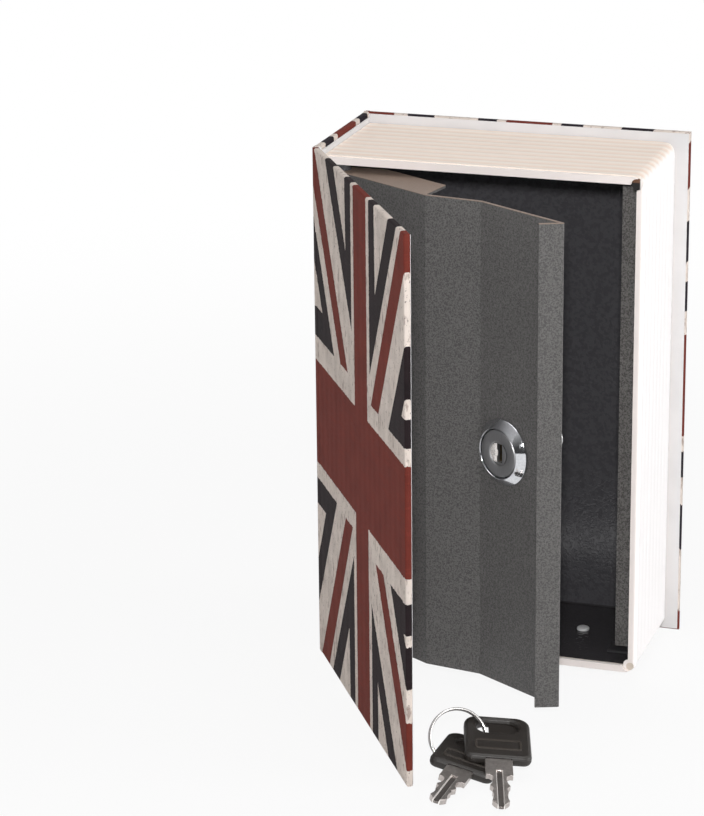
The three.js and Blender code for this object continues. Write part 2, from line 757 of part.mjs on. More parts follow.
function headSolid() {
  const c = headCornerRadius;
  const d = headFootCornerRadius;
  const b = headBevel;
  const outline = rounded(
    -headWidth / 2 + b, headBottomY + b, headWidth / 2 - b, headTopY - b, [d, d, c, c],
  );
  const hole = new THREE.Path();
  const h = slotWidth / 2 + b;
  const run = slotLength / 2 - slotWidth / 2;
  hole.absarc(run, 0, h, -Math.PI / 2, Math.PI / 2);
  hole.absarc(-run, 0, h, Math.PI / 2, 1.5 * Math.PI);
  hole.closePath();
  outline.holes.push(hole);
  const head = solid(new THREE.ExtrudeGeometry(outline, {
    depth: headThickness - 2 * b, bevelThickness: b, bevelSize: b, bevelSegments: 2,
    curveSegments: cornerSteps,
  }).translate(0, 0, b));
  const low = (headThickness - bladeThickness) / 2 - seatGap;
  const pocket = block(
    [-tangWidth / 2 - seatGap, headBottomY - overrun, low],
    [tangWidth / 2 + seatGap, headBottomY + tangLength + seatGap, headThickness - low],
  );
  return head.subtract(pocket);
}

// Where each key lies
function addKey(name, slotAt, angles) {
  const key = new THREE.Group();
  key.position.set(...slotAt);
  key.rotation.set(...angles.map(degrees), 'ZYX');
  add(key, `${name}_key_blade`, bladeSolid(), 'keySteel');
  add(key, `${name}_key_head`, headSolid(), 'keyPlastic');
  group.add(key);
}

addKey('lower', [lowerSlotX, lowerSlotY, lowerSlotZ], [lowerPitchAngle, lowerRollAngle, lowerTurnAngle]);
addKey('upper', [upperSlotX, upperSlotY, upperSlotZ], [upperPitchAngle, upperRollAngle, upperTurnAngle]);

// Split ring: one wire wound in turns that don't touch
{
  class Winding extends THREE.Curve {
    getPoint(t) {
      const angle = 2 * Math.PI * ringTurns * t;
      return new THREE.Vector3(
        ringRadius * Math.cos(angle), ringRadius * Math.sin(angle), ringPitch * ringTurns * (t - 0.5),
      );
    }
  }
  const section = new THREE.Shape();
  section.absarc(0, 0, ringWireRadius, 0, 2 * Math.PI);
  const wire = new THREE.ExtrudeGeometry(section, {
    steps: ringSteps * ringTurns, extrudePath: new Winding(), curveSegments: cornerSteps - 1,
  });
  const holder = new THREE.Group();
  holder.position.set(ringX, ringY, ringZ);
  holder.rotation.set(degrees(ringPitchAngle), degrees(ringRollAngle), 0);
  add(holder, 'key_ring', solid(wire), 'zinc');
  group.add(holder);

  // The least gap between stretches of wire that are more than half a turn apart
  const places = new Winding().getPoints(ringSteps * ringTurns);
  let least = Infinity;
  places.forEach((from, i) => {
    places.slice(i + ringSteps / 2).forEach((to) => {
      least = Math.min(least, from.distanceTo(to) - 2 * ringWireRadius);
    });
  });
  console.log(`key ring: least gap between its turns ${least.toFixed(3)} mm`);
}

export default group;
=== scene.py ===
import json
from math import cos, pi, radians, sin, sqrt
import bmesh
import bpy
from mathutils import Euler, Matrix, Vector


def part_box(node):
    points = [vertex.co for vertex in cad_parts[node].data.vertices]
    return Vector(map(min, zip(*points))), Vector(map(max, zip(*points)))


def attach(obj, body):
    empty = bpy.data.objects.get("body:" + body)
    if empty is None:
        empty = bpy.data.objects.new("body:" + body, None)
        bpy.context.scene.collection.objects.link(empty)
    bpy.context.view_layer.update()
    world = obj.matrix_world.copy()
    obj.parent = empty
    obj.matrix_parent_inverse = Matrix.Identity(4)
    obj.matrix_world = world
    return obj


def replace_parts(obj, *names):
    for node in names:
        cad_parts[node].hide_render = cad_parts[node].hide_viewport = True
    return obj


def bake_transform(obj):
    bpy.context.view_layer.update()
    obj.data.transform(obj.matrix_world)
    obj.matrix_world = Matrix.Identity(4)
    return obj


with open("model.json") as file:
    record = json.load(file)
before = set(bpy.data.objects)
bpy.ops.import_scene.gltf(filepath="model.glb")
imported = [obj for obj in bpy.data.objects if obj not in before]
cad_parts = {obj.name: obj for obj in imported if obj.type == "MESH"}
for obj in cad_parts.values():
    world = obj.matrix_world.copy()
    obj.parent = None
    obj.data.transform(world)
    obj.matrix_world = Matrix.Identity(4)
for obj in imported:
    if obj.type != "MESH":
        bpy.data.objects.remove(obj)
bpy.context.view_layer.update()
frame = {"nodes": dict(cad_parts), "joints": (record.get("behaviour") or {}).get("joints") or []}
nodes = frame["nodes"]
mm = 0.001


# Studio: the book stands on a pale table that runs back into a white surround. A small lamp in
# front does most of the work, with wide weaker ones at both sides and overhead.
aim = Vector((45, -30, 85)) * mm


def lamp(name, towards, distance, width, level):
    """A square lamp that faces the book and shows a white sheet there as bright as level"""
    light = bpy.data.lights.new(name, "AREA")
    light.size = width
    light.energy = level * (pi * distance) ** 2
    holder = bpy.data.objects.new(name, light)
    way = Vector(towards).normalized()
    holder.location = aim + distance * way
    holder.rotation_euler = way.to_track_quat("Z", "Y").to_euler()
    bpy.context.scene.collection.objects.link(holder)


lamp("front_lamp", (0.273, -0.900, 0.400), distance=1.04, width=0.06, level=0.56)
lamp("right_lamp", (0.70, -0.60, 0.35), distance=1.4, width=0.45, level=0.14)
lamp("side_lamp", (1.0, 0.10, 0.25), distance=1.4, width=0.80, level=0.41)
lamp("left_lamp", (-0.85, -0.60, 0.35), distance=1.6, width=1.00, level=0.16)
lamp("overhead_lamp", (0.05, 0.05, 1.0), distance=1.4, width=1.00, level=0.32)

camera = bpy.data.objects.new("view", bpy.data.cameras.new("view"))
camera.data.lens = 136.24
camera.data.sensor_width = 36
camera.data.clip_start = 0.05
camera.location = Vector((328.05, -969.5, 419.0)) * mm
camera.rotation_euler = Euler([radians(angle) for angle in (71.679, 0.613, 18.380)], "XYZ")
bpy.context.scene.collection.objects.link(camera)
bpy.context.scene.camera = camera
bpy.context.scene.view_settings.view_transform = "Standard"


class Value:
    """A value that varies over a surface. What is done with it adds nodes to its finish."""

    def __init__(self, finish, socket):
        self.finish = finish
        self.socket = socket

    def maths(self, operation, *values):
        """A Math node on some values"""
        return self.finish.node(
            "ShaderNodeMath", {"operation": operation}, dict(enumerate(values)))

    def __add__(self, other):
        return self.maths("ADD", self, other)

    def __sub__(self, other):
        return self.maths("SUBTRACT", self, other)

    def __rsub__(self, other):
        return self.maths("SUBTRACT", other, self)

    def __mul__(self, other):
        return self.maths("MULTIPLY", self, other)

    def __truediv__(self, other):
        return self.maths("DIVIDE", self, other)

    def __gt__(self, other):
        return self.maths("GREATER_THAN", self, other)

    def __lt__(self, other):
        return self.maths("LESS_THAN", self, other)

    def __abs__(self):
        return self.maths("ABSOLUTE", self)

    __radd__ = __add__
    __rmul__ = __mul__

    def larger(self, other):
        return self.maths("MAXIMUM", self, other)

    def sine(self):
        return self.maths("SINE", self)

    def cosine(self):
        return self.maths("COSINE", self)

    def dot(self, way):
        return self.finish.node(
            "ShaderNodeVectorMath", {"operation": "DOT_PRODUCT"}, {0: self, 1: way}, "Value")


class Finish:
    """A material with one Principled shader, whose nodes are added by node()"""

    def __init__(self, name, roughness=0.5, metallic=0.0, **constants):
        self.material = bpy.data.materials.new(name)
        self.material.use_nodes = True
        self.shader = self.material.node_tree.nodes["Principled BSDF"]
        self.paint(Roughness=roughness, Metallic=metallic)
        for socket, value in constants.items():
            self.shader.inputs[socket.replace("_", " ")].default_value = value

    def node(self, kind, settings=None, inputs=None, output=0):
        made = self.material.node_tree.nodes.new(kind)
        for setting, value in (settings or {}).items():
            setattr(made, setting, value)
        for socket, value in (inputs or {}).items():
            self.plug(made.inputs[socket], value)
        return Value(self, made.outputs[output])

    def plug(self, socket, value):
        if isinstance(value, Value):
            self.material.node_tree.links.new(value.socket, socket)
        else:
            socket.default_value = value

    def paint(self, **inputs):
        """Sets the shader's inputs. In their names here, _ stands for a space."""
        for socket, value in inputs.items():
            self.plug(self.shader.inputs[socket.replace("_", " ")], value)

    def place(self):
        """Where a spot is in the frame of the whole part, in metres"""
        return self.node("ShaderNodeTexCoord", output="Object")

    def grain(self, size, stretch=(1, 1, 1), detail=3):
        """Soft noise from 0 to 1 whose spots are about size metres wide"""
        spread = self.node("ShaderNodeVectorMath", {"operation": "MULTIPLY"},
                           {0: self.place(), 1: stretch})
        return self.node("ShaderNodeTexNoise", inputs={
            "Vector": spread, "Scale": 1 / size, "Detail": detail})

    def mix(self, low, high, factor):
        """A colour between two others, which are a Mix node's sockets 6 and 7 and output 2"""
        return self.node(
            "ShaderNodeMix", {"data_type": "RGBA"}, {0: factor, 6: low, 7: high}, 2)

    def step(self, value, start, end):
        """0 below start, 1 above end, and smooth between them"""
        return self.node("ShaderNodeMapRange", {"interpolation_type": "SMOOTHSTEP"}, {
            "Value": value, "From Min": start, "From Max": end})

    def tint(self, tone, where):
        """Turns the painted colour to another tone where a value is 1"""
        painted = Value(self, self.shader.inputs["Base Color"].links[0].from_socket)
        self.paint(Base_Color=self.mix(painted, tone, where))

    def relief(self, height, depth):
        bump = self.node("ShaderNodeBump", inputs={"Height": height, "Distance": depth})
        self.paint(Normal=bump)

    def on(self, *pieces):
        for piece in pieces:
            piece.data.materials.clear()
            piece.data.materials.append(self.material)


def colour(red, green, blue):
    """A colour as a screen shows it, from 0 to 255, in the shader's own measure"""
    def linear(level):
        level /= 255
        return level / 12.92 if level <= 0.04045 else ((level + 0.055) / 1.055) ** 2.4
    return (linear(red), linear(green), linear(blue), 1)


# The table: what is seen of it, directly or in a mirror, glows white, or nearly so beside the
# book, where a faint shadow stays. It throws back as little light as a pale grey sheet.
table_size = 14
table_grey = 0.72
glow_near = 0.90
glow_from, glow_to = 0.10, 0.60
table = bpy.data.objects.new("table", bpy.data.meshes.new("table"))
corners = [(-1, -1), (1, -1), (1, 1), (-1, 1)]
table.data.from_pydata(
    [(x * table_size / 2, y * table_size / 2, 0) for x, y in corners], [], [(0, 1, 2, 3)])
bpy.context.scene.collection.objects.link(table)
paper = Finish("table_paper", roughness=1.0, Specular_IOR_Level=0.0, Emission_Strength=1.0)
direct, reflected, refracted = (paper.node("ShaderNodeLightPath", output=ray) for ray in (
    "Is Camera Ray", "Is Glossy Ray", "Is Transmission Ray"))
seen = direct.larger(reflected.larger(refracted))
away = paper.node("ShaderNodeVectorMath", {"operation": "LENGTH"}, {0: paper.place()}, "Value")
glow = seen * (glow_near + (1 - glow_near) * paper.step(away, glow_from, glow_to))
table_tone = (table_grey, table_grey, table_grey, 1)
paper.paint(Base_Color=paper.mix(table_tone, (0, 0, 0, 1), glow))
paper.paint(Emission_Color=paper.mix((0, 0, 0, 1), (1, 1, 1, 1), glow))
paper.on(table)

# The surround: bright metal mirrors it as a white room with a dark zone in front. Dull surfaces
# get little light from it.
dark_way = (0.25, -0.97, 0.05)
dark_from, dark_to = 0.35, 0.95
dark_level = 0.06
dull_level = 0.10
world = bpy.data.worlds.new("surround")
bpy.context.scene.world = world
world.use_nodes = True
sky = world.node_tree
background = sky.nodes["Background"]
background.inputs["Color"].default_value = (1, 1, 1, 1)
path = sky.nodes.new("ShaderNodeLightPath")
way = sky.nodes.new("ShaderNodeTexCoord")
ahead = sky.nodes.new("ShaderNodeVectorMath")
ahead.operation = "DOT_PRODUCT"
ahead.inputs[1].default_value = dark_way
room = sky.nodes.new("ShaderNodeMapRange")
room.inputs["From Min"].default_value = dark_from
room.inputs["From Max"].default_value = dark_to
room.inputs["To Min"].default_value = 1.0
room.inputs["To Max"].default_value = dark_level
mirrored = sky.nodes.new("ShaderNodeMix")
mirrored.inputs["A"].default_value = 1.0
level = sky.nodes.new("ShaderNodeMix")
level.inputs["B"].default_value = dull_level
for source, target in ((way.outputs["Generated"], ahead.inputs[0]),
                       (ahead.outputs["Value"], room.inputs["Value"]),
                       (path.outputs["Is Glossy Ray"], mirrored.inputs["Factor"]),
                       (room.outputs["Result"], mirrored.inputs["B"]),
                       (path.outputs["Is Diffuse Ray"], level.inputs["Factor"]),
                       (mirrored.outputs["Result"], level.inputs["A"]),
                       (level.outputs["Result"], background.inputs["Strength"])):
    sky.links.new(source, target)


# Boards: thick grey board, cut to the cover's size, one each for the front cover, the spine and
# the back cover. The printed wrap is glued round them, so only raw board ends could ever show.
grey_board = Finish("grey_board", roughness=0.95)
fibres = grey_board.grain(0.4 * mm, stretch=(1, 1, 0.4))
grey_board.paint(Base_Color=grey_board.mix(
    colour(120, 117, 110), colour(152, 148, 140), fibres))
grey_board.relief(fibres, 0.05 * mm)
grey_board.on(nodes["front_board"], nodes["spine_board"], nodes["back_board"])


# Printed wrap: paper with a linen grain, printed with a worn flag and glued round the boards
# with its edges turned in. The front cover carries the whole flag, the back cover carries it
# again, and the spine carries a narrow copy of it.
# First the closed book's size, how far the front cover stands open, and its fold's foot
book_height = 180 * mm
cover_width = 115.5 * mm
book_depth = 56 * mm
cover_angle = radians(57.4)
fold = Vector((-1.25, -28, 0)) * mm
thread = 0.42 * mm
thread_slant = 0.6
ink_red = colour(112, 52, 44)
ink_white = colour(226, 214, 205)
# Each print is drawn for its upper half, and its lower half is that half turned round. A print
# has its middle, the half widths of its upright and level bands, and chains of corners in
# shares of its width and height. What lies left of each stretch of a chain is inside it.
cover_shares = {
    "middle": (0.535, 0.491), "bands": (0.070, 0.102),
    "navy": (
        ((0.146, 1), (0.437, 0.727), (0.437, 1)), ((0.634, 1), (0.634, 0.684), (0.923, 1)),
        ((0, 0.640), (0.230, 0.640), (0, 0.868)), ((1.07, 0.88), (0.83, 0.625), (1.07, 0.625)),
    ),
    "bare": (
        ((0.243, 1), (0.376, 0.866), (0.370, 1)), ((0.692, 1), (0.698, 0.841), (0.839, 1)),
        ((0, 0.698), (0.092, 0.698), (0, 0.787)), ((1.07, 0.79), (0.968, 0.677), (1.07, 0.677)),
    ),
    "red": (
        ((-0.074, 1), (0.303, 0.640), (0.388, 0.640), (0.021, 1)),
        ((0.965, 1), (0.644, 0.630), (0.725, 0.630), (1.06, 1)),
    ),
}
spine_shares = {
    "middle": (0.472, 0.484), "bands": (0.174, 0.100),
    "navy": (
        ((0, 0.806), (0.217, 0.721), (0.222, 1)), ((0.717, 1), (0.703, 0.673), (1, 0.78)),
    ),
    "bare": (
        ((0, 0.888), (0.062, 0.875), (0.070, 1)), ((0.874, 1), (0.860, 0.835), (1, 0.86)),
    ),
    "red": (
        ((0, 0.618), (0.125, 0.612), (0, 0.670)),
        ((1, 0.690), (0.88, 0.687), (0.72, 0.626), (1, 0.630)),
    ),
}


def inside(at, chains):
    """1 inside any of the chains of corners, 0 outside"""
    total = None
    for chain in chains:
        within = None
        for (x0, y0), (x1, y1) in zip(chain, chain[1:]):
            along, up = x1 - x0, y1 - y0
            left = at.dot((-up, along, up * x0 - along * y0)) > 0
            within = left if within is None else within * left
        total = within if total is None else total.larger(within)
    return total


def inked(finish, shares, across, height):
    """Where a print is navy and where it is red, at shares of its width and height"""
    middle_u, middle_v = shares["middle"]
    upright_half, level_half = shares["bands"]
    low = height < middle_v
    u = across + low * (2 * middle_u - 2 * across)
    above = abs(height - middle_v)
    at = finish.node("ShaderNodeCombineXYZ", inputs={0: u, 1: above + middle_v, 2: 1.0})
    navy = inside(at, shares["navy"]) * (1 - inside(at, shares["bare"]))
    red = inside(at, shares["red"]).larger(abs(u - middle_u) < upright_half)
    return navy, red.larger(above < level_half)


def lay_print(finish, navy, red, ink_navy):
    """Paints a finish with worn ink on a paper with a linen grain"""
    place = finish.place()
    cloud = finish.grain(9 * mm, detail=4)
    streak = finish.grain(0.9 * mm, stretch=(0.12, 0.12, 1), detail=2)
    scratch = finish.step(finish.grain(1.6 * mm, stretch=(1, 1, 0.35), detail=6), 0.57, 0.69)
    speck = finish.step(finish.grain(0.7 * mm, detail=2), 0.64, 0.72)
    stain = finish.step(cloud, 0.35, 0.75)
    white = finish.mix(ink_white, colour(198, 187, 179), stain * 0.7)
    white = finish.mix(white, colour(124, 100, 92), scratch * 0.6)
    white = finish.mix(white, colour(88, 72, 68), speck * 0.7)
    reds = finish.mix(ink_red, colour(92, 42, 36), stain * 0.5)
    reds = finish.mix(reds, colour(130, 58, 50), finish.step(streak, 0.5, 0.8) * 0.45)
    navies = finish.mix(ink_navy, colour(28, 24, 26), stain * 0.6)
    navies = finish.mix(navies, colour(64, 56, 58), finish.step(streak, 0.55, 0.85) * 0.4)
    shade = finish.mix(finish.mix(white, navies, navy), reds, red)
    finish.paint(Base_Color=shade, Roughness=0.62 + 0.12 * streak)
    x, y, z = (place.dot(way) for way in ((1, 0, 0), (0, 1, 0), (0, 0, 1)))
    turns = 2 * pi / thread
    weft = (z * turns).sine()
    warp = ((x + y * thread_slant) * turns).sine()
    finish.relief(weft * warp + finish.grain(0.35 * mm), 0.05 * mm)


def ragged(finish):
    """How far the worn edges of the ink wander, as a share of the print"""
    return (finish.grain(1.2 * mm) - 0.5) * 0.006


cover_way = Vector((cos(cover_angle), -sin(cover_angle), 0))
front_print = Finish("front_cover_print", Specular_IOR_Level=0.05)
spot = front_print.place()
wander = ragged(front_print)
height = spot.dot((0, 0, 1)) / book_height + wander
front_share = (spot.dot(cover_way) - fold.dot(cover_way)) / cover_width
navy, red = inked(front_print, cover_shares, front_share + wander, height)
lay_print(front_print, navy, red, colour(41, 33, 35))
front_print.on(nodes["front_wrap"])

# The back cover carries the flag as it reads from behind, a little out of register
back_start = 1.05
back_lift = 0.012
back_print = Finish("spine_and_back_print", Specular_IOR_Level=0.05)
spot = back_print.place()
wander = ragged(back_print)
height = spot.dot((0, 0, 1)) / book_height + wander
from_spine = spot.dot((1, 0, 0)) - fold.x
from_front = spot.dot((0, 1, 0)) - fold.y
on_spine = (book_depth - from_front) > from_spine
back_share = back_start - from_spine / cover_width
back_navy, back_red = inked(
    back_print, cover_shares, back_share + wander, height - back_lift)
spine_navy, spine_red = inked(
    back_print, spine_shares, 1 - from_front / book_depth + wander, height)
lay_print(back_print, back_navy + on_spine * (spine_navy - back_navy),
          back_red + on_spine * (spine_red - back_red), colour(39, 34, 41))
back_print.on(nodes["spine_and_back_wrap"])


# Hinge fold: the strip of the printed wrap that bends between the spine and the front cover. It
# is the same linen-grained sheet and carries on the front cover's print.
fold_reach = 3.2 * mm
fold_proud = 0.07 * mm
fold_sunk = 0.1 * mm
fold_short = 0.25 * mm
fold_steps = 10


def add_piece(name, vertices, faces, body, slot, finish, smooth=False):
    """A piece with its faces turned outwards, attached to its body if it has one."""
    mesh = bpy.data.meshes.new(name)
    mesh.from_pydata([tuple(v) for v in vertices], [], faces)
    shape = bmesh.new()
    shape.from_mesh(mesh)
    bmesh.ops.recalc_face_normals(shape, faces=shape.faces)
    shape.to_mesh(mesh)
    shape.free()
    mesh.polygons.foreach_set("use_smooth", [smooth] * len(mesh.polygons))
    made = bpy.data.objects.new(name, mesh)
    bpy.context.scene.collection.objects.link(made)
    finish.on(made)
    if body:
        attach(made, body)
    return made


def skin(rows, count, closed=True):
    """The faces between rows of count corners. Each row is a loop if closed."""
    return [(i * count + k, i * count + (k + 1) % count,
             (i + 1) * count + (k + 1) % count, (i + 1) * count + k)
            for i in range(rows - 1) for k in range(count if closed else count - 1)]


def prism(outline, low, high):
    """The corners and faces of a plan outline raised from low to high"""
    count = len(outline)
    vertices = [(x, y, z) for z in (low, high) for x, y in outline]
    return vertices, skin(2, count) + [tuple(range(count)), tuple(range(count, 2 * count))]


cover_out = Vector((-sin(cover_angle), -cos(cover_angle), 0))
spine_end = fold + Vector((0, fold_reach, 0))
cover_end = fold + fold_reach * cover_way
bend = [Vector((cos(a), sin(a), 0)) for a in (
    pi + (pi / 2 - cover_angle) * i / fold_steps for i in range(fold_steps + 1))]
outside = [spine_end + Vector((-fold_proud, 0, 0))]
outside += [fold + fold_proud * way for way in bend] + [cover_end + fold_proud * cover_out]
under = [spine_end, fold + Vector((fold_sunk, fold_sunk, 0)), cover_end]
outline = [(p.x, p.y) for p in outside + under[::-1]]
vertices, faces = prism(outline, fold_short, book_height - fold_short)
hinge = add_piece("hinge_fold", vertices, faces, None, "print", front_print)
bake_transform(hinge)


# Lining papers: a pale grey-white sheet glued inside the front cover, the spine and the back
# cover, over the turned-in edges of the wrap.
lining = Finish("lining_paper", roughness=0.85, Specular_IOR_Level=0.3)
fleck = lining.grain(0.5 * mm, detail=4)
lining.paint(Base_Color=lining.mix(
    colour(220, 219, 220), colour(213, 212, 213), lining.step(lining.grain(14 * mm), 0.3, 0.8)))
lining.relief(fleck, 0.02 * mm)
lining.on(nodes["spine_lining"])
# Across a cover: how thick it is before it is lined, and how thick the papers are
cased_thickness = 2.15 * mm
sheet_thickness = 0.12 * mm
joint_paper = 0.05 * mm
# Along a cover: what a sheet leaves bare at the edges, and where the board and the lining begin
sheet_edge = 0.5 * mm
fold_gap = 0.15 * mm
from_fold = 2.75 * mm


def lining_sheet(name, corner, begin, along, inwards, body, cad):
    """A sheet glued inside a cover, from begin past the spine's corner to near its edge"""
    corners = [corner + inwards * lift + along * way for lift, way in (
        (0, begin), (0, cover_width - sheet_edge),
        (sheet_thickness, cover_width - sheet_edge), (sheet_thickness, begin))]
    shape = prism([(p.x, p.y) for p in corners], sheet_edge, book_height - sheet_edge)
    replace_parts(add_piece(name, *shape, body, "lining", lining), cad)


lining_sheet("front_lining_paper", fold - cover_out * cased_thickness, from_fold,
             cover_way, -cover_out, "front_cover", "front_lining")
lining_sheet("back_lining_paper", fold + Vector((0, book_depth - cased_thickness, 0)),
             cased_thickness, Vector((1, 0, 0)), Vector((0, -1, 0)), "case", "back_lining")

# Joint papers: the same paper pasted down the bevelled ends of the boards, inside the hinge,
# and on to where the lining begins
joint_clear = 0.02 * mm
for name, along, inwards, body in (
        ("cover_joint_paper", cover_way, -cover_out, "front_cover"),
        ("spine_joint_paper", Vector((0, 1, 0)), Vector((1, 0, 0)), "case")):
    under = [(fold_gap, 0), (fold_gap + cased_thickness, cased_thickness),
             (from_fold, cased_thickness)]
    over = [(from_fold, cased_thickness + joint_paper),
            (fold_gap + cased_thickness - joint_paper / 2, cased_thickness + joint_paper),
            (fold_gap - joint_paper, joint_paper / 2)]
    shift = joint_clear * (inwards - along)
    corners = [fold + shift + a * along + b * inwards for a, b in under + over]
    shape = prism([(p.x, p.y) for p in corners], sheet_edge, book_height - sheet_edge)
    add_piece(name, *shape, body, "lining", lining)


# Page block: one cream plastic moulding that looks like the edges of the pages, with a plain
# front rim. Its head, tail and fore-edge have shallow ribs along the leaves. The ribs are
# painted darker in their valleys as painted shade, and the fore-edge is painted paler as painted
# light.
block_low, block_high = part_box("page_block")
corner_radius = 7.5 * mm
edge_radius = 4 * mm
edge_steps = 8
gathering = 5.0 * mm
leaf = 0.71 * mm
fore_edge_fade = 2 * mm
rim_face = (0.05 * mm, 0.4 * mm)
rim_back = (0.1 * mm, 1.6 * mm)
cream = Finish("cream_plastic")
depth_y = cream.place().dot((0, 1, 0)) - block_low.y
# Painted shade: the ribs are painted darker in their valleys
valley_shade = 0.5 + 0.5 * (depth_y * (2 * pi / gathering)).cosine()
leaf_line = 0.5 + 0.5 * (depth_y * (2 * pi / leaf)).sine()
streaks = cream.grain(5 * mm, stretch=(0.12, 3, 0.12))
tint = valley_shade * 0.55 + leaf_line * 0.2 + streaks * 0.4
# Painted light: the fore-edge is painted paler, with fainter lines
fore_edge = cream.step(
    cream.place().dot((1, 0, 0)), block_high.x - fore_edge_fade, block_high.x)
behind_rim = cream.step(depth_y, *rim_back)
tint = tint * (1 - 0.75 * fore_edge) * behind_rim
rim_front = 1 - cream.step(depth_y, *rim_face)
pale = cream.mix(colour(251, 248, 248), colour(247, 236, 226), behind_rim * (1 - fore_edge))
pale = cream.mix(pale, colour(236, 227, 223), rim_front)
cream.paint(Base_Color=cream.mix(pale, colour(235, 212, 195), cream.step(tint, 0.2, 1.1)))
cream.paint(Roughness=0.5 + 0.1 * cream.grain(3 * mm))
cream.relief(cream.grain(0.3 * mm), 0.01 * mm)
cream.on(nodes["page_block"])


least_rise, hump_rise, fine_rise = 0.05, 0.22, 0.03


def leaf_rise(y):
    """How far the leaves stand proud at a depth in the block"""
    part = (y - block_low.y) / gathering
    hump = sqrt(abs(sin(pi * part)))
    fine = 0.5 + 0.5 * sin(2 * pi * (y - block_low.y) / leaf)
    return (least_rise + hump_rise * hump + fine_rise * fine) * mm


def block_outline(y, rise):
    """The block's outline at one depth, and rise outside its faces: from the spine along its
    head, down its fore-edge and back along its tail"""
    start = block_high.y - corner_radius
    inset = 0
    if y > start:
        inset = corner_radius - sqrt(max(0, corner_radius ** 2 - (y - start) ** 2))
    limit = block_high.x - inset
    line = [(block_low.x, block_high.z + rise)]
    for sign in (1, -1):
        arc_z = block_high.z - edge_radius if sign > 0 else block_low.z + edge_radius
        arc = [pi / 2 * i / edge_steps for i in range(edge_steps + 1)]
        if sign < 0:
            arc.reverse()
        for angle in arc:
            x = block_high.x - edge_radius + edge_radius * sin(angle)
            z = arc_z + sign * edge_radius * cos(angle)
            out_x, out_z = sin(angle), sign * cos(angle)
            line.append((min(x, limit) + rise * out_x, z + rise * out_z))
    line.append((block_low.x, block_low.z - rise))
    return line


# The first and last rows dip into the moulding, so the leaves have no open border
depth_count = 320
rim_width, back_margin = 1.4 * mm, 0.25 * mm
sunk = -0.2 * mm
first, last = block_low.y + rim_width, block_high.y - back_margin
depths = [first + (last - first) * i / depth_count for i in range(depth_count + 1)]
rows = [block_outline(y, leaf_rise(y)) for y in depths]
rows = [block_outline(first, sunk)] + rows + [block_outline(last, sunk)]
depths = [first] + depths + [last]
vertices = [(x, y, z) for y, row in zip(depths, rows) for x, z in row]
faces = skin(len(rows), len(rows[0]), closed=False)
add_piece("page_edges", vertices, faces, "case", "pages", cream)


# Steel box: thin sheet welded up and lined up with the front rim, in dark grey hammered paint
# that is painted darker on its floor as painted shade.
def hammered(name, tone, pit, bump, depth, gloss, roughness):
    """Grey paint with the orange peel and the small dark pits of a hammered finish"""
    paint = Finish(name, Specular_IOR_Level=gloss)
    peel = paint.grain(bump, detail=2)
    fine = paint.grain(0.5 * bump, detail=2)
    pits = paint.step(peel * 0.6 + fine * 0.4, 0.42, 0.60)
    cloud = paint.grain(12 * mm)
    light = paint.mix(tone, pit, 0.25 * cloud)
    paint.paint(Base_Color=paint.mix(light, pit, pits), Roughness=roughness + 0.12 * fine)
    paint.relief((1 - pits) * 0.5 + peel, depth)
    return paint


box_low, box_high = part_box("steel_box")
floor_shade_height = 1.35 * mm
box_paint = hammered("box_paint", colour(75, 74, 77), colour(67, 66, 69),
                     bump=2.0 * mm, depth=0.11 * mm, gloss=0.5, roughness=0.04)
# Painted shade: the box's floor is painted darker
box_paint.tint(
    colour(52, 50, 52), box_paint.place().dot((0, 0, 1)) < box_low.z + floor_shade_height)
box_paint.on(nodes["steel_box"])


# Strike bracket: a bent steel strip that the lock's cam catches, spot-welded to the side of the
# box by a tab at each end. It has the same kind of paint, with painted shade darkening the tabs.
weld_reach = 0.005 * mm


def soften(piece, width):
    """Rounds the sharp edges of a folded or cut piece, as paint and tools leave them"""
    weld = piece.modifiers.new("weld", "WELD")
    weld.merge_threshold = weld_reach
    bevel = piece.modifiers.new("soft_edges", "BEVEL")
    bevel.width = width
    bevel.segments = 2
    bevel.limit_method = "ANGLE"
    bevel.angle_limit = radians(40)
    bevel.use_clamp_overlap = True


bracket_low, bracket_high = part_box("strike_bracket")
tab_shade_height = 1.2 * mm
bracket_paint = hammered("bracket_paint", colour(124, 121, 119), colour(80, 78, 76),
                         bump=0.65 * mm, depth=0.34 * mm, gloss=0.3, roughness=0.40)
half_height = (bracket_high.z - bracket_low.z) / 2
from_middle = bracket_paint.place().dot((0, 0, 1)) - (bracket_high.z + bracket_low.z) / 2
# Painted shade: the tabs are painted darker
bracket_paint.tint(colour(56, 55, 57), abs(from_middle) > half_height - tab_shade_height)
bracket_paint.on(nodes["strike_bracket"])
soften(nodes["strike_bracket"], 0.25 * mm)


# Rivets: zinc-plated steel with low flat heads, rounded at the edge and pulled up inside the
# box, two in its floor and two in its roof.
zinc = Finish("zinc_plate", metallic=0.15)
cloud = zinc.grain(1.5 * mm, detail=4)
zinc.paint(Base_Color=zinc.mix(colour(190, 191, 194), colour(222, 222, 220), cloud))
zinc.paint(Roughness=0.42 + 0.2 * cloud)
rivet_radius = 2.15 * mm
rivet_rise = 1.5 * mm
head_edge, head_round = 0.35 * mm, 0.5 * mm
crown = 0.12 * mm
shank_radius, shank_length = 1.5 * mm, 1.6 * mm
round_steps = 6


